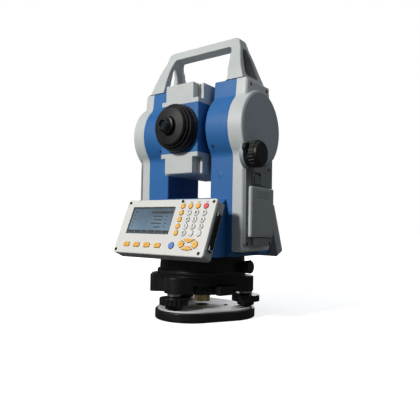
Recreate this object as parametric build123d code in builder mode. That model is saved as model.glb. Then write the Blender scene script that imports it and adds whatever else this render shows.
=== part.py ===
from build123d import *
import math
import os

os.makedirs("parts", exist_ok=True)

# Surveying total station on its tribrach, in millimetres.
# Frame: +Z up along the vertical axis, origin at the centre of the base plate's underside,
# -Y towards the operator's eyepiece, +X towards the battery and tangent-screw side.

# ---------------------------------------------------------------- driving sizes
RUN = 0.05                # radial running clearance

TRUNNION_Z = 235.0        # height of the horizontal (trunnion) axis
TRUNNION = (0, TRUNNION_Z)    # its place in any YZ or XZ plane
FRAME_BOTTOM = 79.0       # underside of the U-shaped alidade casting
STANDARD_TOP = 293.5      # flat top of both standards
FLOOR_Z = 128.0           # floor between the standards
INNER_X = 34.0            # inner face of each standard
FRAME_X = 66.8            # casting ends here, cover begins
COVER_X = 81.7            # outer face of the side cover
PLATE_X = 84.2            # outer face of the lower side plate
DISC_X = 87.1             # outer face of the round side plate
COLUMN_Y = 33.65          # half depth of a standard
TOP_Y = 27.6              # half depth of a standard at its top
BULGE_R = 46.8            # round swelling about the trunnion
DISC_R = 44.3
COVER_BOTTOM = 85.0

BASE_R, BASE_OFF = 45.0, 24.0   # base plate: hull of three circles
BASE_T = 11.5
SPRING_T = 1.5
FOOT_R = 57.0             # foot screws sit on this radius
FOOT_ANGLES = (-90, 30, 150)
LOBE_ANGLE = 30           # first of the three equally spaced corners
SCREW_R = 5.0             # foot screw thread radius
KNOB_R = 18.0
CENTRE_THREAD_R = 6.9     # 5/8"-11 thread, modelled at its pitch radius
TRIBRACH_LOW, TRIBRACH_TOP = 33.0, 52.5

TUBE_X, TUBE_Y, TUBE_Z = 29.4, 54.4, 30.3   # telescope body half sizes
COVER_H = 56.0            # telescope covers reach this far from the trunnion axis

UNIT_W, UNIT_H, UNIT_T = 138.4, 70.8, 16.0  # display unit
UNIT_CORNER = 3.0
UNIT_TILT = math.radians(22.9)              # lean of its face from vertical
UNIT_Y, UNIT_Z = 81.05, 114.15
BEZEL_T = 3.0

TILT_COS, TILT_SIN = math.cos(UNIT_TILT), math.sin(UNIT_TILT)
FRONT_FACE = Plane(origin=(0, -UNIT_Y, UNIT_Z), x_dir=(1, 0, 0), z_dir=(0, -TILT_COS, TILT_SIN))
REAR_FACE = Plane(origin=(0, UNIT_Y, UNIT_Z), x_dir=(-1, 0, 0), z_dir=(0, TILT_COS, TILT_SIN))
OPTIC = Plane(origin=(0, 0, TRUNNION_Z), x_dir=(0, 1, 0), z_dir=(1, 0, 0))
OPTIC_AXIS = Axis((0, 0, TRUNNION_Z), (0, 1, 0))


# ---------------------------------------------------------------- helpers
def save(builder, name):
    builder.part.label = name
    export_step(builder.part, f"parts/{name}.step")


def soften(edges, radii):
    """Round the edges with the first radius that the solid accepts."""
    for radius in radii:
        # The kernel may refuse a radius; the next smaller is tried, and then they stay sharp.
        try:
            fillet(edges, radius)
            return
        except Exception:
            continue


def circles(builder, radius):
    """Circular edges of the given radius."""
    return builder.edges().filter_by(
        lambda e: e.geom_type == GeomType.CIRCLE and abs(e.radius - radius) < 0.01)


def level(z):
    """Horizontal plane at height z."""
    return Plane.XY.offset(z)


def upright(x):
    """Plane across X, with sketch coordinates (y, z)."""
    return Plane.YZ.offset(x)


# The next five return a finished sketch, to be passed to extrude, cut or revolve.
def disc(plane, radius, *places, bore=0):
    with BuildSketch(plane) as plan:
        with Locations(*(places or [(0, 0)])):
            Circle(radius)
            if bore:
                Circle(bore, mode=Mode.SUBTRACT)
    return plan.sketch


def fluted_disc(plane, radius, flute_pitch_r, flutes, flute_r, at=(0, 0), bore=0):
    """Disc with round grip notches whose centres lie on flute_pitch_r."""
    with BuildSketch(plane) as plan:
        with Locations(at):
            Circle(radius)
            if bore:
                Circle(bore, mode=Mode.SUBTRACT)
            with PolarLocations(flute_pitch_r, flutes):
                Circle(flute_r, mode=Mode.SUBTRACT)
    return plan.sketch


def foot_discs(z, radius, bore=0):
    """One disc on each foot screw's axis."""
    with BuildSketch(level(z)) as plan:
        with PolarLocations(FOOT_R, 3, start_angle=LOBE_ANGLE):
            Circle(radius)
            if bore:
                Circle(bore, mode=Mode.SUBTRACT)
    return plan.sketch


def rectangle(plane, width, height, *places, corner=0):
    with BuildSketch(plane) as plan:
        with Locations(*(places or [(0, 0)])):
            if corner:
                RectangleRounded(width, height, corner)
            else:
                Rectangle(width, height)
    return plan.sketch


def polygon(plane, points):
    with BuildSketch(plane) as plan:
        with BuildLine():
            Polyline(*points, close=True)
        make_face()
    return plan.sketch


def cut(sketch, amount):
    extrude(sketch, amount=amount, mode=Mode.SUBTRACT)


def mirrored(points):
    """The points reflected in the vertical axis, in reverse order."""
    return [(-x, y) for x, y in reversed(points)]


def standard_outline(x, inset=0.0, bottom=FRAME_BOTTOM):
    """Side elevation of a standard: a column with a round swelling about the trunnion."""
    column, crown = COLUMN_Y - inset, TOP_Y - inset
    low, high = bottom + inset, STANDARD_TOP - inset
    with BuildSketch(upright(x)) as outline:
        with BuildLine():
            Polyline((-column, low), (column, low), (column, TRUNNION_Z), (crown, high),
                     (-crown, high), (-column, TRUNNION_Z), close=True)
        make_face()
        with Locations(TRUNNION):
            Circle(BULGE_R - inset)
        # necks under the swelling, necks over it, then the bottom corners
        fillet(outline.vertices().filter_by(lambda v: 190 < v.Y < TRUNNION_Z), 12)
        fillet(outline.vertices().filter_by(lambda v: TRUNNION_Z + 8 < v.Y < high - 3), 9)
        fillet(outline.vertices().filter_by(lambda v: v.Y < low + 1), 4)
    return outline.sketch


# ---------------------------------------------------------------- case screws and their seats
HEAD_R, SHANK_R = 2.0, 1.1
SIDE_SCREWS = [(-23, 187), (23, 187), (-27, 95), (27, 95)]      # (y, z)
TOP_SCREWS = [(-19, 286.5), (19, 286.5)]                        # (y, z)
# (x, y) on the face of a display unit
UNIT_SCREWS = [(-65.2, 31.4), (20.1, 32.4), (65.2, 31.4), (62.5, -31.2), (-65.2, -31.2)]


def side_seats(x, places):
    """Seat planes on both sides of the instrument, pointing outwards."""
    return [Plane(origin=(side * x, y, z), z_dir=(side, 0, 0))
            for side in (-1, 1) for y, z in places]


def unit_seats(face):
    """Seat planes on the face of a display unit."""
    return [Plane(origin=face.from_local_coords((x, y, 0)), x_dir=face.x_dir, z_dir=face.z_dir)
            for x, y in UNIT_SCREWS]


PLATE_SEATS = side_seats(PLATE_X, SIDE_SCREWS)
COVER_SEATS = side_seats(COVER_X, TOP_SCREWS)


def cut_seats(seats, head_depth, hole_depth):
    """Counterbore and screw hole at each seat; the hole starts 0.1 inside the counterbore."""
    for seat in seats:
        cut(disc(seat, HEAD_R + RUN), -head_depth)
        cut(disc(seat.offset(0.1 - head_depth), SHANK_R + RUN), -hole_depth)


# ================================================================= tribrach base
SOCKET_DEPTH = 6.5        # sockets for the foot screws' lower ends

with BuildPart() as base_plate:
    with BuildSketch():
        with PolarLocations(BASE_OFF, 3, start_angle=LOBE_ANGLE):
            Circle(BASE_R)
        make_hull()
    extrude(amount=BASE_T)
    soften(base_plate.faces().filter_by(Plane.XY).edges(), (1.5, 1.0, 0.6))
    cut(disc(Plane.XY, CENTRE_THREAD_R), BASE_T)
    cut(foot_discs(BASE_T, SCREW_R + RUN), -SOCKET_DEPTH)
save(base_plate, "base_plate")

with BuildPart() as spring_plate:
    with BuildSketch(level(BASE_T)):
        with PolarLocations(BASE_OFF, 3, start_angle=LOBE_ANGLE):
            Circle(BASE_R - 3.5)
        make_hull()
        Circle(9.0, mode=Mode.SUBTRACT)
        with PolarLocations(FOOT_R, 3, start_angle=LOBE_ANGLE):
            Circle(SCREW_R + 0.6, mode=Mode.SUBTRACT)
        with PolarLocations(31, 3, start_angle=-90):   # relief slots that let the plate flex
            SlotOverall(13, 5, rotation=90, mode=Mode.SUBTRACT)
    extrude(amount=SPRING_T)
    # shallow ring groove in the top
    cut(disc(level(BASE_T + SPRING_T), 43.6, bore=42.9), -0.4)
save(spring_plate, "spring_plate")

COLLARS = ((14.0, 8.0, 14.6), (15.0, 11.0, 5.4))   # underside z, radius, height

for number, angle in enumerate(FOOT_ANGLES, start=1):
    foot = (FOOT_R * math.cos(math.radians(angle)), FOOT_R * math.sin(math.radians(angle)))
    with BuildPart() as foot_screw:
        extrude(disc(level(5.5), SCREW_R, foot), amount=41.0)
        for z, radius, height in COLLARS:
            extrude(disc(level(z), radius, foot), amount=height)
        extrude(fluted_disc(level(19.6), KNOB_R, KNOB_R + 0.9, 20, 1.9, at=foot), amount=8.2)
        soften(circles(foot_screw, KNOB_R), (0.8, 0.4))
    save(foot_screw, f"foot_screw_{number}")

# ================================================================= tribrach body
LEVEL_ANGLE = 210         # direction of the circular level
LEVEL_R = 57
LEVEL_DEPTH = 7.0
SKIRT_LOW = 30            # underside of the central skirt
SPIGOT_SEAT_Z = 44
SPIGOT_R = 22
BUSH_R = 8.5
SOCKET_R = 25
SOCKET_BORE = 7.2
LEVER_ANGLE = -17
# Openings for the locking lever, as ring sectors:
# underside z, inner radius, outer radius, start angle, swept angle, height
LEVER_OPENINGS = (
    (29.9, 38.3, 66.0, -66, 70, 12.6),    # sweep of the lever
    (35.5, 35.0, 39.5, -53, 45, 6.0),     # slot for the lever's arm
)

with BuildPart() as tribrach_body:
    with BuildSketch(level(TRIBRACH_LOW)):
        with PolarLocations(50, 3, start_angle=LOBE_ANGLE):
            Circle(17)
        make_hull()
    extrude(amount=TRIBRACH_TOP - TRIBRACH_LOW)
    with BuildSketch(level(SKIRT_LOW)):                  # circular level housing
        with PolarLocations(52.5, 1, start_angle=LEVEL_ANGLE):
            RectangleRounded(30, 32, 6)
    extrude(amount=TRIBRACH_TOP - SKIRT_LOW)
    soften(tribrach_body.faces().sort_by(Axis.Z)[-1].outer_wire().edges(), (1.5, 1.0, 0.6))
    extrude(disc(level(SKIRT_LOW), 38), amount=3.2)
    # pocket for the locking ring, then the seat of the instrument base spigot
    cut(disc(level(SKIRT_LOW), 36), SPIGOT_SEAT_Z - SKIRT_LOW)
    cut(disc(level(SPIGOT_SEAT_Z), SPIGOT_R + RUN), TRIBRACH_TOP - SPIGOT_SEAT_Z)
    cut(foot_discs(TRIBRACH_LOW, BUSH_R), 15.2)
    with BuildSketch(level(TRIBRACH_TOP)):               # circular level recess
        with PolarLocations(LEVEL_R, 1, start_angle=LEVEL_ANGLE):
            Circle(8.0)
    extrude(amount=-LEVEL_DEPTH, mode=Mode.SUBTRACT)
    for z, inner_r, outer_r, start, sweep, height in LEVER_OPENINGS:
        with BuildSketch(level(z)):
            with BuildLine():
                a0, a1 = math.radians(start), math.radians(start + sweep)
                Line((inner_r * math.cos(a0), inner_r * math.sin(a0)),
                     (outer_r * math.cos(a0), outer_r * math.sin(a0)))
                CenterArc((0, 0), outer_r, start, sweep)
                Line((outer_r * math.cos(a1), outer_r * math.sin(a1)),
                     (inner_r * math.cos(a1), inner_r * math.sin(a1)))
                CenterArc((0, 0), inner_r, start, sweep)
            make_face()
        extrude(amount=height, mode=Mode.SUBTRACT)
save(tribrach_body, "tribrach_body")

with BuildPart() as foot_screw_bushes:
    extrude(foot_discs(29.8, BUSH_R, bore=SCREW_R + RUN), amount=18.4)
save(foot_screw_bushes, "foot_screw_bushes")

with BuildPart() as circular_level:
    with BuildSketch(level(TRIBRACH_TOP - LEVEL_DEPTH)):
        with PolarLocations(LEVEL_R, 1, start_angle=LEVEL_ANGLE):
            Circle(8.0 - RUN)
    extrude(amount=6.6)
    soften(circular_level.edges().group_by(Axis.Z)[-1], (1.2, 0.6))
save(circular_level, "circular_level")

with BuildPart() as centring_socket:
    extrude(disc(level(33), SOCKET_R, bore=SOCKET_BORE), amount=11)
    extrude(fluted_disc(level(18), 10.5, 10.9, 16, 1.1, bore=SOCKET_BORE), amount=15)
save(centring_socket, "centring_socket")

with BuildPart() as lock_lever:
    with BuildSketch(level(36)):                         # ring and arm
        Circle(33.5)
        Circle(SOCKET_R + RUN, mode=Mode.SUBTRACT)
        with PolarLocations(40, 1, start_angle=LEVER_ANGLE):
            Rectangle(16, 11)
    extrude(amount=5)
    with BuildSketch(level(31)):                         # finger piece
        with PolarLocations(49.5, 1, start_angle=LEVER_ANGLE):
            RectangleRounded(9, 27, 2)
    extrude(amount=10.6)
    top_edges = lock_lever.edges().filter_by(Axis.Z, reverse=True).group_by(Axis.Z)[-1]
    soften(top_edges, (0.8, 0.4))
    # blind hole in the outer face of the finger piece
    out_x, out_y = math.cos(math.radians(LEVER_ANGLE)), math.sin(math.radians(LEVER_ANGLE))
    lever_face = Plane(origin=(54 * out_x, 54 * out_y, 36.2), z_dir=(out_x, out_y, 0))
    cut(disc(lever_face, 1.9, (9.0, 0)), -4)
save(lock_lever, "lock_lever")

# ================================================================= instrument base, vertical axis
SPIGOT_LOW = 44.5
INSTRUMENT_Z = TRIBRACH_TOP + 2.5   # top of the instrument base
BASE_BORE = 10
AXIS_R, AXIS_BORE = 14, 9
SLEEVE_R = 18
FLANGE_T = 4                        # flange at the foot of the axis sleeve
ALIDADE_LOW = 55.4
ALIDADE_RIM_R, ALIDADE_RIM_H = 59, 4.6
ALIDADE_SHOULDER = ALIDADE_LOW + ALIDADE_RIM_H
ALIDADE_CEILING = 74                # underside of the alidade base's top web
H_Y, H_Z = 8.0, 65.0                # horizontal tangent screw's axis
H_AXIS = (H_Y, H_Z)
H_SHANK_R = 3.5

with BuildPart() as instrument_base:
    extrude(disc(level(TRIBRACH_TOP), 56, bore=BASE_BORE), amount=INSTRUMENT_Z - TRIBRACH_TOP)
    extrude(disc(level(SPIGOT_LOW), SPIGOT_R, bore=BASE_BORE), amount=TRIBRACH_TOP - SPIGOT_LOW)
save(instrument_base, "instrument_base")

with BuildPart() as axis_sleeve:
    extrude(disc(level(INSTRUMENT_Z), SLEEVE_R, bore=AXIS_R), amount=12)
    extrude(disc(level(INSTRUMENT_Z), 24, bore=AXIS_R), amount=FLANGE_T)
save(axis_sleeve, "axis_sleeve")

with BuildPart() as horizontal_circle:
    extrude(disc(level(INSTRUMENT_Z + FLANGE_T), 43, bore=SLEEVE_R), amount=3)
save(horizontal_circle, "horizontal_circle")

with BuildPart() as alidade_base:
    extrude(disc(level(ALIDADE_LOW), ALIDADE_RIM_R), amount=ALIDADE_RIM_H)
    extrude(disc(level(ALIDADE_SHOULDER), 56), amount=FRAME_BOTTOM - ALIDADE_SHOULDER, taper=3)
    soften(circles(alidade_base, ALIDADE_RIM_R), (1.2, 0.8))
    cut(disc(level(ALIDADE_LOW), 50), ALIDADE_CEILING - ALIDADE_LOW)
    cut(disc(level(ALIDADE_CEILING), AXIS_BORE), FRAME_BOTTOM - ALIDADE_CEILING)
    # boss that carries the horizontal tangent screw, on the battery side towards the rear
    extrude(disc(upright(52), 6.5, H_AXIS), amount=6.5)
    cut(disc(upright(51), H_SHANK_R + RUN, H_AXIS), 10)
save(alidade_base, "alidade_base")

with BuildPart() as vertical_axis:
    extrude(disc(level(56), AXIS_R - RUN, bore=AXIS_BORE), amount=18)
    extrude(disc(level(69), 32, bore=AXIS_BORE), amount=5)
save(vertical_axis, "vertical_axis")

# ================================================================= alidade casting
KNOB = (-27.0, 200.2)     # (y, z) of the vertical tangent screw's axis
WALL = 4                  # casting wall
BRACKET_X = 58            # half width of the display unit brackets
BEARING_R = 18
SHAFT_R = 12

with BuildPart() as alidade_frame:
    for side in (-1, 1):
        extrude(standard_outline(side * INNER_X), amount=side * (FRAME_X - INNER_X))
    inner = alidade_frame.faces().filter_by(Plane.YZ).filter_by(
        lambda f: abs(abs(f.center().X) - INNER_X) < 0.01)
    soften(inner.edges(), (2.2, 1.5, 0.8))
    extrude(rectangle(level(FRAME_BOTTOM), 2 * INNER_X + 16, 2 * COLUMN_Y - 0.6),
            amount=FLOOR_Z - FRAME_BOTTOM)
    # brackets that carry the two display units
    for face, sy in ((FRONT_FACE, -1), (REAR_FACE, 1)):
        top_back = face.from_local_coords((0, 27.0, -UNIT_T))
        low_back = face.from_local_coords((0, -31.0, -UNIT_T))
        bracket = ((sy * (COLUMN_Y - 3), FRAME_BOTTOM), (low_back.Y, low_back.Z),
                   (top_back.Y, top_back.Z), (sy * (COLUMN_Y - 3), 150.0))
        extrude(polygon(upright(-BRACKET_X), bracket), amount=2 * BRACKET_X)
    # hollow standards, open towards the side covers, each with a bored bearing boss
    for side in (-1, 1):
        cut(standard_outline(side * (INNER_X + WALL), inset=WALL), side * 40)
        extrude(disc(upright(side * (INNER_X + 3.9)), 23, TRUNNION), amount=side * 8)
        cut(disc(upright(side * (INNER_X - 1)), BEARING_R, TRUNNION), side * 16)
    # hollow bridge and hollow unit brackets
    cut(rectangle(level(FRAME_BOTTOM), 60, 58), FLOOR_Z - WALL - FRAME_BOTTOM)
    cut(rectangle(upright(WALL - BRACKET_X), 34, 32, (-53, 103), (53, 103)),
        2 * (BRACKET_X - WALL))
    # shallow adjusting hole on the front of each swelling
    cut(disc(Plane.XZ.offset(60), 1.8, (42, 211.3), (-42, 211.3)), -20)
    # passage for the vertical tangent screw
    cut(disc(upright(58), 5.6, KNOB), 12)
save(alidade_frame, "alidade_frame")

with BuildPart() as trunnion_bearings:
    for side in (-1, 1):
        extrude(disc(upright(side * INNER_X), BEARING_R, TRUNNION, bore=SHAFT_R + RUN),
                amount=side * 11)
save(trunnion_bearings, "trunnion_bearings")

# ================================================================= side covers and plates
BAY_Y0, BAY_Y1, BAY_Z0, BAY_Z1 = -28.0, 28.5, 102.5, 163.6     # battery bay
BAY_W, BAY_H = BAY_Y1 - BAY_Y0, BAY_Z1 - BAY_Z0
BAY_CENTRE = ((BAY_Y0 + BAY_Y1) / 2, (BAY_Z0 + BAY_Z1) / 2)
RECESS_LOW = COVER_BOTTOM + 8       # bottom of the recess that takes the side plate
RECESS_Y = 32.0                     # its half depth
PLATE_LOW = COVER_BOTTOM + 8.1
TANGENT_R = 5                       # vertical tangent screw's shank

for side, side_name in ((-1, "left"), (1, "right")):
    with BuildPart() as side_cover:
        extrude(standard_outline(side * FRAME_X, bottom=COVER_BOTTOM),
                amount=side * (COVER_X - FRAME_X))
        outer = side_cover.faces().filter_by(Plane.YZ).sort_by(Axis.X)[-1 if side > 0 else 0]
        soften(outer.edges(), (4.0, 3.0, 2.0, 1.0))
        # drum around the round plate
        extrude(disc(upright(side * (COVER_X - 5)), BULGE_R, TRUNNION), amount=side * 9.6)
        rim = circles(side_cover, BULGE_R).filter_by(lambda e: abs(e.center().X) > COVER_X + 3)
        soften(rim, (2.3, 1.8, 1.0))
        with BuildSketch(upright(side * COVER_X)):            # recess of the plate
            with Locations(TRUNNION):
                Circle(DISC_R + 0.1)
            with Locations((0, (RECESS_LOW + TRUNNION_Z) / 2)):
                Rectangle(2 * RECESS_Y, TRUNNION_Z - RECESS_LOW)
            if side > 0:
                with Locations(KNOB):
                    Circle(17.7)
        extrude(amount=side * 8, mode=Mode.SUBTRACT)
        cut(standard_outline(side * FRAME_X, inset=3.2, bottom=COVER_BOTTOM), side * 12.4)
        cut_seats(COVER_SEATS + PLATE_SEATS, head_depth=1.6, hole_depth=7)
        if side > 0:                                          # battery bay, tangent screw hole
            cut(rectangle(upright(FRAME_X - 1), BAY_W, BAY_H, BAY_CENTRE), 30)
            cut(disc(upright(FRAME_X - 1), 6, KNOB), 30)
    save(side_cover, f"{side_name}_side_cover")

    with BuildPart() as side_plate:
        extrude(disc(upright(side * COVER_X), DISC_R, TRUNNION), amount=side * (DISC_X - COVER_X))
        soften(side_plate.edges().filter_by(
            lambda e: e.geom_type == GeomType.CIRCLE and abs(e.center().X) > DISC_X - 0.1),
            (0.8, 0.5))
        extrude(rectangle(upright(side * COVER_X), 2 * (RECESS_Y - 0.1), TRUNNION_Z - PLATE_LOW,
                          (0, (PLATE_LOW + TRUNNION_Z) / 2), corner=3),
                amount=side * (PLATE_X - COVER_X))
        if side > 0:
            # boss under the tangent screw
            extrude(disc(upright(COVER_X + 0.2), 17.5, KNOB), amount=DISC_X - COVER_X - 0.2)
            # raised surround of the latch, and the latch track
            extrude(rectangle(upright(PLATE_X), 34, 17, (-2, 174), corner=2.5), amount=1.3)
            cut(rectangle(upright(PLATE_X - 1), 17, 14, (-8, 173.6)), 6)
            # toe that carries the battery's foot
            extrude(rectangle(upright(PLATE_X), 36, 9.6, (0, 97.2), corner=3), amount=2.6)
            # battery bay, tangent screw hole
            cut(rectangle(upright(COVER_X - 1), BAY_W, BAY_H, BAY_CENTRE), 12)
            cut(disc(upright(COVER_X - 1), TANGENT_R + RUN, KNOB), 12)
        cut_seats(PLATE_SEATS, head_depth=1.5, hole_depth=7)
    save(side_plate, f"{side_name}_side_plate")

# ================================================================= battery and its latch
with BuildPart() as battery:
    extrude(rectangle(upright(58), BAY_W - 1.0, BAY_H - 0.9, BAY_CENTRE, corner=2.0), amount=30.6)
    soften(battery.faces().sort_by(Axis.X)[-1].edges(), (1.2, 0.6))
    # finger scoop in the top edge
    cut(rectangle(level(BAY_Z1), 3.4, 18, (88.6, 14)), -4)
save(battery, "battery")

with BuildPart() as battery_latch:
    extrude(rectangle(upright(PLATE_X - 0.6), 16, 9, (-8, 171.4), corner=1), amount=3.4)
    # three grip grooves
    cut(rectangle(upright(PLATE_X + 2.0), 13, 0.9, (-8, 169.4), (-8, 171.9), (-8, 174.4)), 3)
save(battery_latch, "battery_latch")

# ================================================================= vertical clamp, tangent screw
CLAMP_TAB = ((-36, 211.2), (-45.4, 211.4), (-48.0, 205.2), (-40.5, 195))   # (y, z)

with BuildPart() as vertical_clamp_lever:
    with BuildSketch(upright(DISC_X + 0.3)) as tab_plan:
        with Locations(KNOB):
            Circle(15.0)
            Circle(TANGENT_R + RUN, mode=Mode.SUBTRACT)
        with BuildLine():
            Polyline(*CLAMP_TAB, close=True)
        make_face()
        fillet(tab_plan.vertices().filter_by(lambda v: v.X < -44), 1.8)
    extrude(amount=4.2)
save(vertical_clamp_lever, "vertical_clamp_lever")

with BuildPart() as vertical_tangent_screw:
    extrude(fluted_disc(upright(92), 16, 16.8, 24, 1.5, at=KNOB), amount=7)
    extrude(disc(upright(99), 14.6, KNOB), amount=4, taper=12)
    soften(vertical_tangent_screw.edges().group_by(Axis.X)[-1], (1.5, 0.8))
    extrude(disc(upright(60), TANGENT_R, KNOB), amount=33)
save(vertical_tangent_screw, "vertical_tangent_screw")

# ================================================================= horizontal clamp, tangent screw
with BuildPart() as horizontal_clamp_lever:
    with BuildSketch(upright(59.2)):
        with Locations(H_AXIS):
            Circle(7.0)
            Circle(H_SHANK_R + RUN, mode=Mode.SUBTRACT)
        with BuildLine():
            Polyline((H_Y + 3, H_Z + 6.3), (H_Y + 13, H_Z + 8), (H_Y + 13.8, H_Z + 4),
                     (H_Y + 6.5, H_Z - 1), close=True)
        make_face()
    extrude(amount=2.2)
save(horizontal_clamp_lever, "horizontal_clamp_lever")

with BuildPart() as horizontal_tangent_screw:
    extrude(fluted_disc(upright(61.7), 8.0, 8.5, 18, 0.9, at=H_AXIS), amount=7.6)
    soften(horizontal_tangent_screw.edges().group_by(Axis.X)[-1], (0.6, 0.3))
    extrude(disc(upright(51.5), H_SHANK_R, H_AXIS), amount=14)
save(horizontal_tangent_screw, "horizontal_tangent_screw")

# ================================================================= carrying handle
HANDLE_TOP = 354.0
GRIP_LOW = 342.7          # underside of the grip bar
HANDLE_Y = 28             # half depth of the blank
# right half of the front view, (x, z): outside going up, inside going down
HANDLE_OUTSIDE = [(75.2, STANDARD_TOP), (68.6, 311.6), (62.2, 333.6), (56.0, HANDLE_TOP)]
HANDLE_INSIDE = [(45.6, GRIP_LOW), (48.4, 333), (51.2, STANDARD_TOP)]
# rear half of the side view, (y, z), going up
HANDLE_SIDE = [(27.1, STANDARD_TOP - 1), (27.1, STANDARD_TOP + 1), (23.1, 311), (16.8, 328),
               (10.6, 340), (8.8, 349), (6.6, 355)]
# Openings in the legs: plane x, depth, outline (y, z)
LEG_OPENINGS = (
    # window through the left leg, between a front and a rear strut
    (-80, 40, ((-14.5, 300.5), (15.5, 300.5), (9.5, 327.5), (4.0, 338.5), (-4.5, 338.5),
               (-9.0, 327.5))),
    # pocket from the outside of the right leg
    (80, -25.0, ((-15.5, 300.5), (15.5, 300.5), (9.5, 327.5), (4.0, 338.5), (-4.5, 338.5),
                 (-9.5, 327.5))),
)

with BuildPart() as carrying_handle:
    with BuildSketch(Plane.XZ.offset(-HANDLE_Y)) as front_view:
        with BuildLine():
            Polyline(*HANDLE_OUTSIDE, *mirrored(HANDLE_OUTSIDE),
                     *mirrored(HANDLE_INSIDE), *HANDLE_INSIDE, close=True)
        make_face()
        fillet(front_view.vertices().filter_by(lambda v: abs(v.Y - HANDLE_TOP) < 0.1), 7)
        fillet(front_view.vertices().filter_by(lambda v: abs(v.Y - GRIP_LOW) < 0.1), 4)
    extrude(amount=2 * HANDLE_Y)
    with BuildSketch(upright(-80)) as side_view:
        with BuildLine():
            Polyline(*HANDLE_SIDE, *mirrored(HANDLE_SIDE), close=True)
        make_face()
        fillet(side_view.vertices().filter_by(lambda v: 298 < v.Y < 345), 20)
    extrude(amount=160, mode=Mode.INTERSECT)
    for x, depth, points in LEG_OPENINGS:
        with BuildSketch(upright(x)) as opening:
            with BuildLine():
                Polyline(*points, close=True)
            make_face()
            fillet(opening.vertices(), 2.5)
        extrude(amount=depth, mode=Mode.SUBTRACT)
    soften(carrying_handle.edges().filter_by(Axis.X).filter_by(lambda e: e.length > 60),
           (2.0, 1.5, 1.0, 0.6))
save(carrying_handle, "carrying_handle")

# ================================================================= internals of the alidade
BOARD_X, BOARD_T = -58, 1.6
# components on the main board: centre (y, z), width, height
BOARD_PARTS = (
    ((-8, 160), 18, 18), ((10, 128), 10, 14), ((-12, 118), 10, 14), ((0, 100), 30, 6),
)
SENSOR_AT = (-16, 12)     # (x, y)
SENSOR_H = 16

with BuildPart() as main_board:
    extrude(rectangle(upright(BOARD_X), 48, 96, (0, 140)), amount=BOARD_T)
    with BuildSketch(upright(BOARD_X + BOARD_T)):
        for centre, width, height in BOARD_PARTS:
            with Locations(centre):
                Rectangle(width, height)
    extrude(amount=2.4)
save(main_board, "main_board")

with BuildPart() as tilt_sensor:
    extrude(rectangle(level(FRAME_BOTTOM), 24, 24, SENSOR_AT, corner=3), amount=SENSOR_H)
    extrude(disc(level(FRAME_BOTTOM + SENSOR_H), 8, SENSOR_AT), amount=6)
save(tilt_sensor, "tilt_sensor")

with BuildPart() as plate_level:
    extrude(rectangle(level(FLOOR_Z), 50, 12, (0, -23), corner=2), amount=6.5)
    # round trough along X for the vial
    cut(disc(upright(-17), 4.2, (-23, FLOOR_Z + 5.6)), 34)
save(plate_level, "plate_level")

# ================================================================= display units and keys
# Places are (x, y) on the unit's face.
LCD_AT, LCD_W, LCD_H = (-22.7, 7.7), 69.0, 35.6
TOP_KEYS = [(22.7, 25.9), (33.9, 25.9), (44.8, 25.9)]
KEY_ROWS = (17.4, 8.9, 0.4, -8.0)
SIDE_KEYS = [(23.0, y) for y in KEY_ROWS]
NUMBER_KEYS = [(x, y) for y in KEY_ROWS for x in (34.3, 44.9, 56.0)]
SOFT_KEYS = [(x, -24.3) for x in (-49.4, -32.8, -16.1, 0.7)]
ROUND_R = 3.15
# round keys of each group: radius, places
ROUND_KEYS = {
    "function_keys": (ROUND_R, TOP_KEYS + SIDE_KEYS),
    "number_keys": (3.3, NUMBER_KEYS),
    "power_key": (ROUND_R + 0.1, [(56.2, 25.9)]),
    "shortcut_key": (3.9, [(21.7, -23.6)]),
}
SOFT_W, SOFT_H, SOFT_CORNER = 9.8, 5.3, 2.1
NAV_AT, NAV_W, NAV_H = (45.2, -21.4), 27.0, 13.6
GAP = 0.45                # between a key and its opening
REAR_GROUPS = ("function_keys", "number_keys", "navigation_key")
FRONT_GROUPS = ("function_keys", "number_keys", "power_key", "shortcut_key", "navigation_key")

# mount of the data port, on the +X edge of the front unit
PORT = Plane(origin=FRONT_FACE.from_local_coords((UNIT_W / 2, -2.0, -9.3)),
             x_dir=FRONT_FACE.y_dir, z_dir=FRONT_FACE.x_dir)


def key_sketch(plane, group, grow=0.0):
    """Plan of one group of keys on a display unit, grown for its opening in the bezel."""
    with BuildSketch(plane) as plan:
        if group in ROUND_KEYS:
            radius, places = ROUND_KEYS[group]
            with Locations(*places):
                Circle(radius + grow)
        if group == "function_keys":
            with Locations(*SOFT_KEYS):
                RectangleRounded(SOFT_W + 2 * grow, SOFT_H + 2 * grow, SOFT_CORNER + grow)
        if group == "navigation_key":      # elliptical ring split in four by crossed gaps
            with Locations(NAV_AT):
                Ellipse(NAV_W / 2 + grow, NAV_H / 2 + grow)
                Ellipse(6.4 - grow, 2.5 - grow, mode=Mode.SUBTRACT)
                for turn in (30, -30):
                    Rectangle(40, 2.6 - 2 * grow, rotation=turn, mode=Mode.SUBTRACT)
    return plan.sketch


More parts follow.
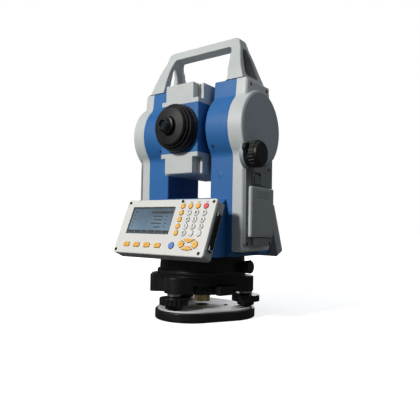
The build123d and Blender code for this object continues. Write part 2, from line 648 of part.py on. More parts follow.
for unit, face, groups in (("front", FRONT_FACE, FRONT_GROUPS), ("rear", REAR_FACE, REAR_GROUPS)):
    outward = Axis((0, 0, 0), tuple(face.z_dir))
    seats = unit_seats(face)
    below_bezel = face.offset(-BEZEL_T - 0.5)
    with BuildPart() as panel:
        extrude(rectangle(face.offset(-BEZEL_T), UNIT_W, UNIT_H, corner=UNIT_CORNER),
                amount=BEZEL_T)
        soften(panel.faces().sort_by(outward)[-1].edges(), (1.2, 0.8))
        cut(rectangle(below_bezel, LCD_W, LCD_H, LCD_AT, corner=0.8), BEZEL_T + 1)
        for group in groups:
            cut(key_sketch(below_bezel, group, GAP), BEZEL_T + 1)
        cut_seats(seats, head_depth=1.6, hole_depth=2)
    save(panel, f"{unit}_panel")

    with BuildPart() as back_shell:
        extrude(rectangle(face.offset(-UNIT_T), UNIT_W, UNIT_H, corner=UNIT_CORNER),
                amount=UNIT_T - BEZEL_T)
        cut(rectangle(face.offset(-UNIT_T + 2.5), UNIT_W - 10, UNIT_H - 10.4, corner=2.0), UNIT_T)
        for seat in seats:
            cut(disc(seat.offset(-BEZEL_T), SHANK_R + RUN), -5)
        if unit == "front":                # data socket recess under the port cover
            cut(rectangle(PORT, 40, 5), -2.2)
    save(back_shell, f"{unit}_back_shell")

    with BuildPart() as display:
        extrude(rectangle(face.offset(-9), LCD_W + 6, LCD_H + 6, LCD_AT, corner=1), amount=5.9)
        extrude(rectangle(face.offset(-3.2), LCD_W - 0.3, LCD_H - 0.3, LCD_AT, corner=0.7),
                amount=2.2)
    save(display, f"{unit}_display")

    for group in groups:
        with BuildPart() as keys:
            extrude(key_sketch(face.offset(-5.5), group), amount=6.8)
            if group != "navigation_key":
                soften(keys.edges().group_by(outward)[-1], (0.8, 0.5, 0.3))
        save(keys, f"{unit}_{group}")

with BuildPart() as port_cover:
    extrude(rectangle(PORT, 47, 8, corner=1.5), amount=1.6)
    # two grooves across the cover
    cut(rectangle(PORT.offset(1.6), 0.8, 9, (-7, 0), (9, 0)), -0.5)
save(port_cover, "port_cover")

with BuildPart() as case_screws:
    for seat in PLATE_SEATS + COVER_SEATS + unit_seats(FRONT_FACE) + unit_seats(REAR_FACE):
        with BuildSketch(seat.offset(-0.2)):       # head with its hexagon socket
            Circle(HEAD_R)
            RegularPolygon(1.0, 6, mode=Mode.SUBTRACT)
        extrude(amount=-1.0)
        extrude(disc(seat.offset(-1.15), HEAD_R), amount=-0.3)
        extrude(disc(seat.offset(-1.3), SHANK_R), amount=-4.0)
save(case_screws, "case_screws")

# ================================================================= telescope body
NOSE_W = 43               # width of the covers' narrow ends
SHOULDER_L = 88           # length of their full-width middle
GROOVE_X, GROOVE_Y = 24.6, 45.5

with BuildPart() as telescope_body:
    with Locations((0, 0, TRUNNION_Z)):
        Box(2 * TUBE_X, 2 * TUBE_Y, 2 * TUBE_Z)
    soften(telescope_body.edges().filter_by(Axis.Z), (2.0, 1.0))
    cut(disc(Plane.XZ.offset(60), 20 + RUN, TRUNNION), -120)
save(telescope_body, "telescope_body")

for cover_name, up in (("telescope_top_cover", 1), ("telescope_bottom_cover", -1)):
    joint = level(TRUNNION_Z + up * TUBE_Z)
    with BuildPart() as cover:
        extrude(rectangle(joint, 2 * TUBE_X, 2 * TUBE_Y, corner=2.0), amount=up * 5.5)
        with BuildSketch(joint):
            Rectangle(NOSE_W, 2 * TUBE_Y)
            Rectangle(2 * TUBE_X, SHOULDER_L)
            # grooves beside the narrow nose
            with Locations((GROOVE_X, -GROOVE_Y), (-GROOVE_X, -GROOVE_Y),
                           (GROOVE_X, GROOVE_Y), (-GROOVE_X, GROOVE_Y)):
                Rectangle(3.0, 8, mode=Mode.SUBTRACT)
        extrude(amount=up * (COVER_H - TUBE_Z))
        soften(cover.faces().sort_by(Axis.Z)[-1 if up > 0 else 0].edges(), (2.4, 1.5, 0.8))
        cut(rectangle(joint, NOSE_W - 6, 2 * TUBE_Y - 6), up * (COVER_H - TUBE_Z - 3))
    save(cover, cover_name)

with BuildPart() as trunnion_shafts:
    for side in (-1, 1):
        for radius, length in ((17, 3.6), (SHAFT_R, 27)):     # flange, shaft
            extrude(disc(upright(side * TUBE_X), radius, TRUNNION), amount=side * length)
save(trunnion_shafts, "trunnion_shafts")

with BuildPart() as vertical_circle:
    extrude(disc(upright(-50), 37, TRUNNION, bore=SHAFT_R), amount=-3)
save(vertical_circle, "vertical_circle")

# ================================================================= optics
# Half sections are (y, distance from the optical axis).
RING_BORE = 14            # focus ring runs on this radius of the eyepiece mount
EYE_R = 8.6               # bore of the eyepiece mount

OBJECTIVE_BARREL = (
    (TUBE_Y, 23), (TUBE_Y, 28.5), (60, 28.5), (61, 27), (73, 27), (75, 26), (75, 24.5),
    (62, 23.5), (62, 23),
)
FOCUSING_LENS = ((-8, 0), (-8, 14), (-10, 20), (2, 20), (0, 14), (0, 0))
RETICLE = ((-46, 0), (-46, 19.9), (-43, 19.9), (-43, 8), (-44.5, 8), (-44.5, 0))
EYEPIECE_MOUNT = (
    (-TUBE_Y, EYE_R), (-TUBE_Y, 29.6), (-57.6, 29.6), (-59.6, 28.6), (-59.6, RING_BORE),
    (-69.8, RING_BORE), (-69.8, 23.4), (-72.4, 23.4), (-73.8, 22.0), (-74.8, 11.6),
    (-73.6, EYE_R),
)
EYEPIECE = (
    (-64, 5.6), (-64, EYE_R - RUN), (-75.2, EYE_R - RUN), (-75.2, 10.8), (-79.2, 10.4),
    (-80.0, 8.4), (-84.8, 7.6), (-85.8, 6.6), (-85.8, 5.4), (-84.0, 4.4), (-81.0, 4.4),
    (-81.0, 5.6),
)

for name, half_section in (
    ("objective_barrel", OBJECTIVE_BARREL), ("focusing_lens", FOCUSING_LENS),
    ("reticle", RETICLE), ("eyepiece_mount", EYEPIECE_MOUNT),
):
    with BuildPart() as turned_piece:
        revolve(polygon(OPTIC, half_section), axis=OPTIC_AXIS)
    save(turned_piece, name)

# Lenses with a spherical outer surface: sphere centre y, sphere radius,
# XZ plane offset (towards -Y), lens radius, extent from that plane towards +Y
for name, centre_y, sphere_r, offset, lens_r, extent in (
    ("objective_lens", 10.6, 55.4, -56, 22.95, 14),
    ("eyepiece_lens", -63.6, 20.2, 81, 4.35, -6),
):
    with BuildPart() as lens:
        with Locations((0, centre_y, TRUNNION_Z)):
            Sphere(sphere_r)
        extrude(disc(Plane.XZ.offset(offset), lens_r, TRUNNION), amount=-extent,
                mode=Mode.INTERSECT)
    save(lens, name)

with BuildPart() as focus_ring:
    extrude(fluted_disc(Plane.XZ.offset(59.8), 28.3, 28.9, 44, 1.15, at=TRUNNION,
                        bore=RING_BORE + RUN), amount=6.4)
    extrude(disc(Plane.XZ.offset(66.2), 25.6, TRUNNION, bore=RING_BORE + RUN), amount=3.4)
save(focus_ring, "focus_ring")

with BuildPart() as eyepiece:
    revolve(polygon(OPTIC, EYEPIECE), axis=OPTIC_AXIS)
    with BuildSketch(Plane.XZ.offset(75)):         # grip notches
        with Locations(TRUNNION):
            with PolarLocations(11.2, 24):
                Circle(0.7)
    extrude(amount=6, mode=Mode.SUBTRACT)
save(eyepiece, "eyepiece")
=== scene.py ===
# Surveying total station on a tribrach: looks, floor, lights and camera over its CAD pieces.
# The vertical axis stands on Z. The two display units face -Y (front) and +Y (rear), tilted
# upwards, and the battery is on the +X side. Lengths are in millimetres, turned to metres by MM,
# apart from the floor, lights and camera, which are in metres.
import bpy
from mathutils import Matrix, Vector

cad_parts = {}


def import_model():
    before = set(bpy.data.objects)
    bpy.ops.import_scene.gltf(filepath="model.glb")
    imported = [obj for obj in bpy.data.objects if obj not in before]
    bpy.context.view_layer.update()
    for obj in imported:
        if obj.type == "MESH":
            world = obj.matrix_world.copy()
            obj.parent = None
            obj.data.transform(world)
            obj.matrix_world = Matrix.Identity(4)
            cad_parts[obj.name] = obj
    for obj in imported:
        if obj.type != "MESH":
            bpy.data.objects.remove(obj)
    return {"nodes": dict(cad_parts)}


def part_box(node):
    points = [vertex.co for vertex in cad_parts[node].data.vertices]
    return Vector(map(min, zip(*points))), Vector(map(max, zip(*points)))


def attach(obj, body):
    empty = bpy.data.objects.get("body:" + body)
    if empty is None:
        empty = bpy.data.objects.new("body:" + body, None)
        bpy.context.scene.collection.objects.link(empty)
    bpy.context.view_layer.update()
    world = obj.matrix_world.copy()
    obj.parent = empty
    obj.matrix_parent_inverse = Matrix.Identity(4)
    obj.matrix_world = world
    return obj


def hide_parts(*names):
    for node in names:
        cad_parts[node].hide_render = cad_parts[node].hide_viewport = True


cad_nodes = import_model()["nodes"]
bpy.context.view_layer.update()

import math
import random
import bpy
import bmesh
from mathutils import Matrix, Vector

random.seed(7)
MM = 0.001


# ------------------------------------------------------------------ local frames
def local_frame(origin, x, z):
    """Matrix of a frame at origin (mm) with the given x and z directions."""
    x, z = Vector(x).normalized(), Vector(z).normalized()
    matrix = Matrix((x, z.cross(x), z)).transposed().to_4x4()
    matrix.translation = Vector(origin) * MM
    return matrix


# Display units: local x runs to the right, y up the face, z out of it
DISPLAY_TILT = math.radians(22.9)
DISPLAY_Y, DISPLAY_Z = 81.05, 114.15
FACE_OUT, FACE_UP = math.cos(DISPLAY_TILT), math.sin(DISPLAY_TILT)
UNITS = {
    "front": local_frame((0, -DISPLAY_Y, DISPLAY_Z), (1, 0, 0), (0, -FACE_OUT, FACE_UP)),
    "rear": local_frame((0, DISPLAY_Y, DISPLAY_Z), (-1, 0, 0), (0, FACE_OUT, FACE_UP)),
}
SIDE = local_frame((0, 0, 0), x=(0, 1, 0), z=(1, 0, 0))     # local x, y, z are world Y, Z, X
FRONT = local_frame((0, 0, 0), x=(1, 0, 0), z=(0, -1, 0))   # local x, y, z are world X, Z, -Y


# ------------------------------------------------------------------ shader graphs
class Graph:
    """A cleared node tree. Values pass between its methods as output sockets."""

    def __init__(self, tree):
        self.tree = tree
        tree.nodes.clear()

    def feed(self, node, inputs):
        """Link each socket to its input and set every other value on it."""
        for key, value in inputs.items():
            if isinstance(value, bpy.types.NodeSocket):
                self.tree.links.new(value, node.inputs[key])
            else:
                node.inputs[key].default_value = value

    def node(self, kind, inputs=None, **props):
        node = self.tree.nodes.new(kind)
        for key, value in props.items():
            setattr(node, key, value)
        self.feed(node, inputs or {})
        return node


class Shader(Graph):
    """A material with a Principled surface, and the steps the materials share."""

    def __init__(self, name):
        self.material = bpy.data.materials.new(name)
        self.material.use_nodes = True
        super().__init__(self.material.node_tree)
        self.bsdf = self.node("ShaderNodeBsdfPrincipled")
        self.node("ShaderNodeOutputMaterial", {"Surface": self.bsdf.outputs["BSDF"]})
        self.coords = self.node("ShaderNodeTexCoord")

    def noise(self, size_mm, detail, roughness=0.55, stretch=None):
        vector = self.coords.outputs["Object"]
        if stretch:
            mapping = self.node("ShaderNodeMapping", {"Vector": vector, "Scale": stretch})
            vector = mapping.outputs["Vector"]
        return self.node("ShaderNodeTexNoise", {
            "Vector": vector, "Scale": 1000.0 / size_mm,
            "Detail": detail, "Roughness": roughness}).outputs["Fac"]

    def cells(self, size_mm):
        return self.node("ShaderNodeTexVoronoi", {
            "Vector": self.coords.outputs["Object"],
            "Scale": 1000.0 / size_mm}).outputs["Distance"]

    def remap(self, value, low, high, to_low=0.0, to_high=1.0):
        return self.node("ShaderNodeMapRange", {
            "Value": value, "From Min": low, "From Max": high,
            "To Min": to_low, "To Max": to_high}).outputs["Result"]

    def math(self, operation, a, b):
        return self.node("ShaderNodeMath", {0: a, 1: b}, operation=operation).outputs["Value"]

    def mix(self, factor, a, b, blend_type="MIX"):
        """Mix two colours, each a socket or an RGB tuple."""
        a, b = ((*c, 1) if isinstance(c, tuple) else c for c in (a, b))
        return self.node("ShaderNodeMix", {0: factor, 6: a, 7: b},
                         data_type="RGBA", blend_type=blend_type).outputs[2]

    def z_of(self, vector):
        return self.node("ShaderNodeSeparateXYZ", {"Vector": vector}).outputs["Z"]

    def bevel(self, radius_mm):
        return self.node("ShaderNodeBevel", {"Radius": radius_mm * MM},
                         samples=4).outputs["Normal"]

    def bump(self, height, depth_mm, normal=None):
        inputs = {"Distance": depth_mm * MM, "Height": height}
        if normal:
            inputs["Normal"] = normal
        return self.node("ShaderNodeBump", inputs).outputs["Normal"]


def tone(color, factor):
    return tuple(min(1.0, channel * factor) for channel in color)


MOTTLE_MM = 45              # size of the broad tone patches
ROUGH_SPREAD = 0.10         # how far roughness strays either way
WORN_ROUGH = -0.12          # change of roughness on worn edges
WAVE_DEPTH = 0.05           # relief of the slow waviness


def surface(name, color, rough, *, metallic=0.0, specular=0.5, coat=0.0, sheen=0.0,
            mottle=0.08, speck=0.05, upper=None,
            grain_mm=0.5, grain_depth=0.030, cellular=False, stretch=None, wave_mm=None,
            wear=None, wear_amount=0.5, edge_mm=0.7, soft_mm=0.45, scratch=0.0,
            dust=0.03, dust_color=(0.55, 0.53, 0.49)):
    """Opaque material with mottling, grain, worn edges, scratches and dust.

    upper is (low Z, high Z, colour): a second colour that takes over between those heights.
    It is painted light: a lighter top standing for the stronger light on the upper part.
    edge_mm is the reach of the wear and soft_mm the rounding seen on edges.
    """
    shader = Shader(name)
    geometry = shader.node("ShaderNodeNewGeometry")
    face_normal = geometry.outputs["Normal"]

    # broad tone and fine speckle
    broad = shader.noise(MOTTLE_MM, detail=4)
    if cellular:
        fine = shader.cells(grain_mm)
    else:
        fine = shader.noise(grain_mm, detail=2, stretch=stretch)
    base = shader.mix(shader.remap(broad, 0.35, 0.65),
                      tone(color, 1 - mottle), tone(color, 1 + mottle * 0.6))
    base = shader.mix(shader.remap(fine, 0.3, 0.75, 0.0, speck * 4), base, tone(color, 0.72))
    # painted light: a lighter colour above the given heights, for the light falling more strongly
    # higher up
    if upper:
        low, high, painted_light_color = upper
        height = shader.z_of(shader.coords.outputs["Object"])
        shade = shader.mix(shader.remap(broad, 0.3, 0.7),
                           tone(painted_light_color, 0.95), tone(painted_light_color, 1.05))
        base = shader.mix(shader.remap(height, low * MM, high * MM), base, shade)

    # wear, where a wide bevel turns the normal away from the face
    soft_normal = shader.bevel(soft_mm)
    turn = shader.node("ShaderNodeVectorMath", {0: shader.bevel(edge_mm), 1: face_normal},
                       operation="DOT_PRODUCT").outputs["Value"]
    edge = shader.remap(turn, 0.995, 0.80)
    patches = shader.remap(shader.noise(3.2, detail=4, roughness=0.7), 0.46, 0.62)
    worn = shader.math("MULTIPLY", shader.math("MULTIPLY", edge, patches), wear_amount)
    if wear:
        base = shader.mix(worn, base, wear)

    if scratch:
        streaks = shader.noise(1.2, detail=3, roughness=0.7, stretch=(0.06, 0.9, 1.0))
        base = shader.mix(shader.remap(streaks, 0.66, 0.72, 0.0, scratch), base,
                          tone(color, 1.6 if max(color) < 0.5 else 0.8))

    # dust lies on what faces up
    if dust:
        upward = shader.remap(shader.z_of(face_normal), 0.35, 1.0)
        drift = shader.remap(shader.noise(6, detail=5, roughness=0.7), 0.42, 0.72)
        settled = shader.math("MULTIPLY", shader.math("MULTIPLY", upward, drift), dust * 2)
        base = shader.mix(settled, base, dust_color)

    gloss = shader.remap(shader.noise(14, detail=4, roughness=0.6), 0.3, 0.7,
                         max(0.05, rough - ROUGH_SPREAD), min(1, rough + ROUGH_SPREAD))
    normal = shader.bump(fine, grain_depth, soft_normal)
    if wave_mm:
        normal = shader.bump(shader.noise(wave_mm, detail=2), WAVE_DEPTH, normal)
    shader.feed(shader.bsdf, {
        "Base Color": base,
        "Roughness": shader.math("ADD", gloss, shader.math("MULTIPLY", worn, WORN_ROUGH)),
        "Normal": normal,
        "Metallic": metallic,
        "Specular IOR Level": specular,
        "Coat Weight": coat,
        "Coat Roughness": 0.15,
        "Sheen Weight": sheen,
    })
    return shader.material


def glass(name, color, rough=0.03, ior=1.5, transmission=1.0):
    """Glass with a bluish coating, darker where it is seen at a slant."""
    shader = Shader(name)
    slant = shader.node("ShaderNodeLayerWeight", {"Blend": 0.35}).outputs["Facing"]
    shader.feed(shader.bsdf, {
        "Base Color": shader.mix(slant, color, tone(color, 0.55)),
        "Transmission Weight": transmission,
        "IOR": ior,
        "Coat Weight": 1.0,
        "Coat Tint": (0.62, 0.72, 1.0, 1),
        "Roughness": shader.remap(shader.noise(12, detail=4), 0.35, 0.75, rough, rough + 0.07),
        "Normal": shader.bump(shader.noise(8, detail=2), depth_mm=0.004),
    })
    return shader.material


def lcd_glass(name):
    """Blue-grey liquid crystal glass: a fine cell grid and a slow tone shift under gloss."""
    shader = Shader(name)
    base = shader.mix(shader.remap(shader.noise(38, detail=3), 0.35, 0.65),
                      (0.145, 0.240, 0.335), (0.215, 0.325, 0.440))
    grid = shader.node("ShaderNodeTexBrick", {
        "Vector": shader.coords.outputs["Object"],
        "Scale": 1400.0,
        "Mortar Size": 0.04,
        "Color1": (1, 1, 1, 1),
        "Color2": (0.96, 0.96, 0.96, 1),
        "Mortar": (0.80, 0.80, 0.80, 1),
    }, offset=0.0).outputs["Color"]
    celled = shader.mix(0.6, base, grid, blend_type="MULTIPLY")
    # darker towards the upper edge
    height = shader.z_of(shader.coords.outputs["Generated"])
    shade = shader.remap(height, 0.20, 1.0, 1.08, 0.42)
    dimmed = shader.node("ShaderNodeVectorMath", {0: celled, "Scale": shade}, operation="SCALE")
    shader.feed(shader.bsdf, {
        "Base Color": dimmed.outputs[0],
        "Coat Weight": 1.0,
        "Coat Roughness": 0.06,
        "Roughness": shader.remap(shader.noise(10, detail=3), 0.3, 0.7, 0.30, 0.42),
        "Normal": shader.bump(shader.noise(0.4, detail=2), depth_mm=0.002),
    })
    return shader.material


# ------------------------------------------------------------------ materials
MATERIALS = {
    "blue": surface(
        "blue_powder_coat", (0.027, 0.150, 0.415), rough=0.50, specular=0.35, coat=0.04,
        mottle=0.07, speck=0.03, cellular=True, grain_mm=0.9, grain_depth=0.020, wave_mm=4,
        wear=(0.12, 0.24, 0.44), wear_amount=0.45, scratch=0.22),
    "light": surface(
        "light_grey_moulding", (0.60, 0.635, 0.635), rough=0.40, mottle=0.05, speck=0.04,
        grain_mm=0.7, grain_depth=0.022, wear=(0.38, 0.39, 0.38), wear_amount=0.40,
        scratch=0.12, dust=0.05, dust_color=(0.42, 0.40, 0.36)),
    # upper: painted light, lighter above Z 188-204 where the side plates catch more light
    "dark": surface(
        "dark_grey_moulding_lit_top", (0.205, 0.235, 0.25), rough=0.50, grain_mm=0.7,
        upper=(188, 204, (0.36, 0.415, 0.455)), wear=(0.36, 0.38, 0.39), scratch=0.25,
        dust=0.10),
    "panel": surface(
        "off_white_panel", (0.78, 0.78, 0.755), rough=0.42, coat=0.1, mottle=0.035,
        speck=0.025, grain_depth=0.010, wear=(0.55, 0.54, 0.50), scratch=0.08,
        dust=0.05, dust_color=(0.45, 0.43, 0.38)),
    "case": surface(
        "battery_case_face", (0.36, 0.40, 0.41), rough=0.50, mottle=0.07, grain_mm=0.7,
        wear=(0.50, 0.53, 0.54), wear_amount=0.4, scratch=0.25, dust=0.08),
    "shell": surface(
        "mid_grey_moulding", (0.40, 0.415, 0.415), rough=0.55, mottle=0.07, grain_mm=0.7,
        wear=(0.42, 0.43, 0.43), scratch=0.2, dust=0.06),
    "black": surface(
        "black_knob_plastic", (0.0085, 0.0085, 0.010), rough=0.42, specular=0.35,
        mottle=0.25, grain_depth=0.014, wear=(0.055, 0.055, 0.056), scratch=0.15, dust=0.02),
    "rubber": surface(
        "black_rubber", (0.0075, 0.0075, 0.0085), rough=0.66, specular=0.25, mottle=0.25,
        speck=0.08, grain_mm=0.6, wear=(0.04, 0.04, 0.04), dust_color=(0.16, 0.15, 0.14)),
    "casting": surface(
        "black_paint_casting", (0.0075, 0.0080, 0.0095), rough=0.42, specular=0.35,
        coat=0.08, mottle=0.25, cellular=True, grain_mm=1.1, grain_depth=0.035, wave_mm=5,
        wear=(0.12, 0.12, 0.125), scratch=0.2, dust=0.02),
    "bright": surface(
        "turned_bright_plate", (0.90, 0.905, 0.91), rough=0.45, metallic=0.15, mottle=0.05,
        grain_depth=0.006, stretch=(1, 1, 0.1), wear=(0.9, 0.9, 0.9), wear_amount=0.3,
        scratch=0.15, dust=0.05),
    "steel": surface(
        "ground_steel", (0.42, 0.43, 0.44), rough=0.30, metallic=1.0, speck=0.08,
        grain_depth=0.006, stretch=(1, 1, 0.08), wear=(0.7, 0.7, 0.7), wear_amount=0.4),
    "screw": surface(
        "blackened_steel", (0.055, 0.055, 0.06), rough=0.36, metallic=0.85, mottle=0.15,
        grain_mm=0.3, grain_depth=0.006, wear=(0.45, 0.45, 0.45), wear_amount=0.7,
        edge_mm=0.35, soft_mm=0.15, dust=0.04),
    "brass": surface(
        "turned_brass", (0.55, 0.41, 0.20), rough=0.32, metallic=1.0, mottle=0.14,
        speck=0.10, grain_depth=0.008, stretch=(1, 1, 0.15), wear=(0.85, 0.72, 0.42),
        wear_amount=0.6, edge_mm=0.5, dust=0.05),
}
KEY_COLORS = {
    "yellow": (0.94, 0.52, 0.085),
    "white": (0.83, 0.83, 0.82),
    "red": (0.82, 0.10, 0.13),
    "bluekey": (0.13, 0.25, 0.66),
}
for key, color in KEY_COLORS.items():
    MATERIALS[key] = surface(
        key + "_silicone", color, rough=0.48, sheen=0.1, mottle=0.06, speck=0.03,
        grain_mm=0.4, grain_depth=0.008, wear=tone(color, 0.62), wear_amount=0.45,
        edge_mm=0.6, soft_mm=0.5)


def print_ink(name, color, rough=0.5, mottle=0.08, speck=0.05):
    return surface(name, color, rough, mottle=mottle, speck=speck, grain_mm=0.3,
                   grain_depth=0.003, dust=0.0)


MATERIALS.update({
    "glass": glass("coated_optical_glass", (0.80, 0.88, 0.93)),
    "eyeglass": glass("eyepiece_glass", (0.05, 0.07, 0.09), transmission=0.6),
    "darkglass": glass("graticule_glass", (0.02, 0.025, 0.03), transmission=0.0),
    "vial": glass("level_vial", (0.70, 0.88, 0.30), rough=0.04, ior=1.36),
    "bubble": glass("vial_bubble", (0.93, 0.98, 0.85), rough=0.02, ior=1.1),
    "board": surface(
        "circuit_board", (0.02, 0.14, 0.06), rough=0.35, mottle=0.2, speck=0.2,
        cellular=True, grain_mm=2.2, grain_depth=0.02, wear=(0.5, 0.42, 0.2),
        wear_amount=0.4, dust=0.02),
    "ink": print_ink("printed_ink", (0.045, 0.047, 0.052), rough=0.45, mottle=0.2),
    "mark": print_ink("white_print", (0.74, 0.74, 0.72)),       # spare: no piece wears it
    "keyink": print_ink("amber_print", (0.50, 0.235, 0.045), speck=0.03),
    # painted shade: the dark colour of the handle inlay stands for the shaded inner wall of the +X
    # leg's window
    "pocket_shade": surface(
        "handle_pocket_painted_shade", (0.105, 0.125, 0.145), rough=0.45, mottle=0.10, speck=0.06,
        grain_mm=0.6, wear=(0.3, 0.32, 0.33), wear_amount=0.4, dust=0.04),
    "socket": surface(
        "socket_insert", (0.03, 0.03, 0.032), rough=0.35, metallic=0.3, mottle=0.2,
        speck=0.1, grain_mm=0.4, grain_depth=0.01, wear=(0.3, 0.3, 0.3), dust=0.0),
    "lcd": lcd_glass("lcd_window"),
})

# material: the CAD pieces that wear it
PIECES_BY_MATERIAL = {
    "blue": "alidade_frame telescope_body",
    "light": "left_side_cover right_side_cover carrying_handle battery telescope_top_cover "
             "telescope_bottom_cover",
    "dark": "left_side_plate right_side_plate battery_latch",
    "panel": "front_panel rear_panel",
    "shell": "front_back_shell rear_back_shell",
    "black": "foot_screw_1 foot_screw_2 foot_screw_3 plate_level vertical_clamp_lever "
             "vertical_tangent_screw horizontal_clamp_lever horizontal_tangent_screw "
             "objective_barrel eyepiece_mount eyepiece",
    "rubber": "port_cover focus_ring",
    "casting": "base_plate tribrach_body lock_lever instrument_base alidade_base",
    "bright": "spring_plate",
    "steel": "foot_screw_bushes axis_sleeve vertical_axis tilt_sensor trunnion_shafts",
    "screw": "case_screws",
    "brass": "centring_socket trunnion_bearings",
    "yellow": "front_function_keys front_navigation_key rear_function_keys "
              "rear_navigation_key",
    "white": "front_number_keys rear_number_keys",
    "red": "front_power_key",
    "bluekey": "front_shortcut_key",
    "glass": "horizontal_circle vertical_circle objective_lens focusing_lens",
    "eyeglass": "eyepiece_lens",
    "darkglass": "reticle",
    "vial": "circular_level",
    "board": "main_board",
    "lcd": "front_display rear_display",
}
material_of = {piece: MATERIALS[key]
               for key, pieces in PIECES_BY_MATERIAL.items() for piece in pieces.split()}
for name, obj in cad_nodes.items():
    if not obj.material_slots:
        obj.data.materials.append(material_of[name])
    for material_slot in obj.material_slots:
        material_slot.material = material_of[name]


# ------------------------------------------------------------------ solids, each a bmesh
def box(size, bevel, at=(0, 0, 0), segments=3):
    """Block with rounded edges; at is the centre of its base."""
    width, height, depth = size
    x, y, z = at
    solid = bmesh.new()
    bmesh.ops.create_cube(solid, size=1.0)
    bmesh.ops.scale(solid, vec=(width * MM, height * MM, depth * MM), verts=solid.verts)
    bmesh.ops.bevel(solid, geom=list(solid.edges), offset=bevel * MM, segments=segments,
                    profile=0.5, affect="EDGES")
    bmesh.ops.translate(solid, vec=(x * MM, y * MM, (z + depth / 2) * MM), verts=solid.verts)
    return solid


def circle_points(radius, z, segments, x=0, y=0):
    angles = [2 * math.pi * i / segments for i in range(segments)]
    return [((x + radius * math.cos(a)) * MM, (y + radius * math.sin(a)) * MM, z * MM)
            for a in angles]


def turned(profile, segments, x=0, y=0):
    """Solid of revolution about local z; its (radius, z) profile starts and ends on the axis."""
    solid = bmesh.new()
    rings = []
    for radius, z in profile:
        points = circle_points(radius, z, segments, x, y) if radius else [(x * MM, y * MM, z * MM)]
        rings.append([solid.verts.new(point) for point in points])
    for low, high in zip(rings, rings[1:]):
        for i in range(segments):
            j = (i + 1) % segments
            if len(low) == 1:
                solid.faces.new((low[0], high[i], high[j]))
            elif len(high) == 1:
                solid.faces.new((low[i], low[j], high[0]))
            else:
                solid.faces.new((low[i], low[j], high[j], high[i]))
    bmesh.ops.recalc_face_normals(solid, faces=solid.faces)
    return solid


def ring(section, segments):
    """Ring about local z from a closed (radius, z) section clear of the axis."""
    solid = bmesh.new()
    circles = [circle_points(radius, z, segments) for radius, z in section]
    spokes = [[solid.verts.new(point) for point in spoke] for spoke in zip(*circles)]
    for i, spoke in enumerate(spokes):
        following = spokes[(i + 1) % segments]
        for k in range(len(section)):
            n = (k + 1) % len(section)
            solid.faces.new((spoke[k], following[k], following[n], spoke[n]))
    bmesh.ops.recalc_face_normals(solid, faces=solid.faces)
    return solid


def plate(outline, z_low, z_high, bevel=0):
    """Prism over an (x, y) outline, with its edges rounded where bevel is given."""
    solid = bmesh.new()
    face = solid.faces.new([solid.verts.new((x * MM, y * MM, z_low * MM)) for x, y in outline])
    extruded = bmesh.ops.extrude_face_region(solid, geom=[face])["geom"]
    bmesh.ops.translate(solid, vec=(0, 0, (z_high - z_low) * MM),
                        verts=[v for v in extruded if isinstance(v, bmesh.types.BMVert)])
    bmesh.ops.recalc_face_normals(solid, faces=solid.faces)
    if bevel:
        bmesh.ops.bevel(solid, geom=list(solid.edges), offset=bevel * MM, segments=2,
                        profile=0.5, affect="EDGES")
    return solid


def text_solid(text, size, depth, bold, at):
    """Raised text centred on at."""
    curve = bpy.data.curves.new("text", "FONT")
    curve.body = text
    curve.size = size * MM
    curve.extrude = depth * MM / 2
    curve.offset = bold * MM
    curve.align_x = "CENTER"
    curve.align_y = "CENTER"
    curve.resolution_u = 3
    obj = bpy.data.objects.new("text", curve)
    bpy.context.scene.collection.objects.link(obj)
    depsgraph = bpy.context.evaluated_depsgraph_get()
    depsgraph.update()
    mesh = bpy.data.meshes.new_from_object(obj.evaluated_get(depsgraph))
    solid = bmesh.new()
    solid.from_mesh(mesh)
    bmesh.ops.remove_doubles(solid, verts=solid.verts, dist=1e-7)
    bpy.data.objects.remove(obj)
    bpy.data.curves.remove(curve)
    bpy.data.meshes.remove(mesh)
    bmesh.ops.translate(solid, vec=[v * MM for v in at], verts=solid.verts)
    return solid


def add_piece(name, solids, frame, material, body, smooth=True):
    """Join solids into one object, placed by a local frame and riding on a body."""
    whole = solids[0]
    for solid in solids[1:]:
        part = bpy.data.meshes.new("part")
        solid.to_mesh(part)
        solid.free()
        whole.from_mesh(part)
        bpy.data.meshes.remove(part)
    mesh = bpy.data.meshes.new(name)
    whole.normal_update()
    whole.to_mesh(mesh)
    whole.free()
    mesh.transform(frame)
    mesh.materials.append(MATERIALS[material])
    obj = bpy.data.objects.new(name, mesh)
    bpy.context.scene.collection.objects.link(obj)
    if smooth:
        mesh.shade_smooth()
        mesh.set_sharp_from_angle(angle=math.radians(38))
    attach(obj, body)


# ------------------------------------------------------------------ carrying handle
def handle_moulding():
    """The handle remeshed and smoothed into one soft moulding."""
    mesh = cad_nodes["carrying_handle"].data.copy()
    obj = bpy.data.objects.new("handle_moulding", mesh)
    bpy.context.scene.collection.objects.link(obj)
    welded = bmesh.new()
    welded.from_mesh(mesh)
    bmesh.ops.remove_doubles(welded, verts=welded.verts, dist=2e-6)
    welded.to_mesh(mesh)
    welded.free()
    remesh = obj.modifiers.new("remesh", "REMESH")
    remesh.mode = "VOXEL"
    remesh.voxel_size = 0.75 * MM
    remesh.use_smooth_shade = True
    smooth = obj.modifiers.new("smooth", "SMOOTH")
    smooth.factor = 0.5
    smooth.iterations = 9
    depsgraph = bpy.context.evaluated_depsgraph_get()
    depsgraph.update()
    soft_mesh = bpy.data.meshes.new_from_object(obj.evaluated_get(depsgraph))
    obj.modifiers.clear()
    obj.data = soft_mesh
    bpy.data.meshes.remove(mesh)
    soft_mesh.materials.clear()
    soft_mesh.materials.append(MATERIALS["light"])
    soft_mesh.shade_smooth()
    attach(obj, "alidade")
    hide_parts("carrying_handle")


handle_moulding()
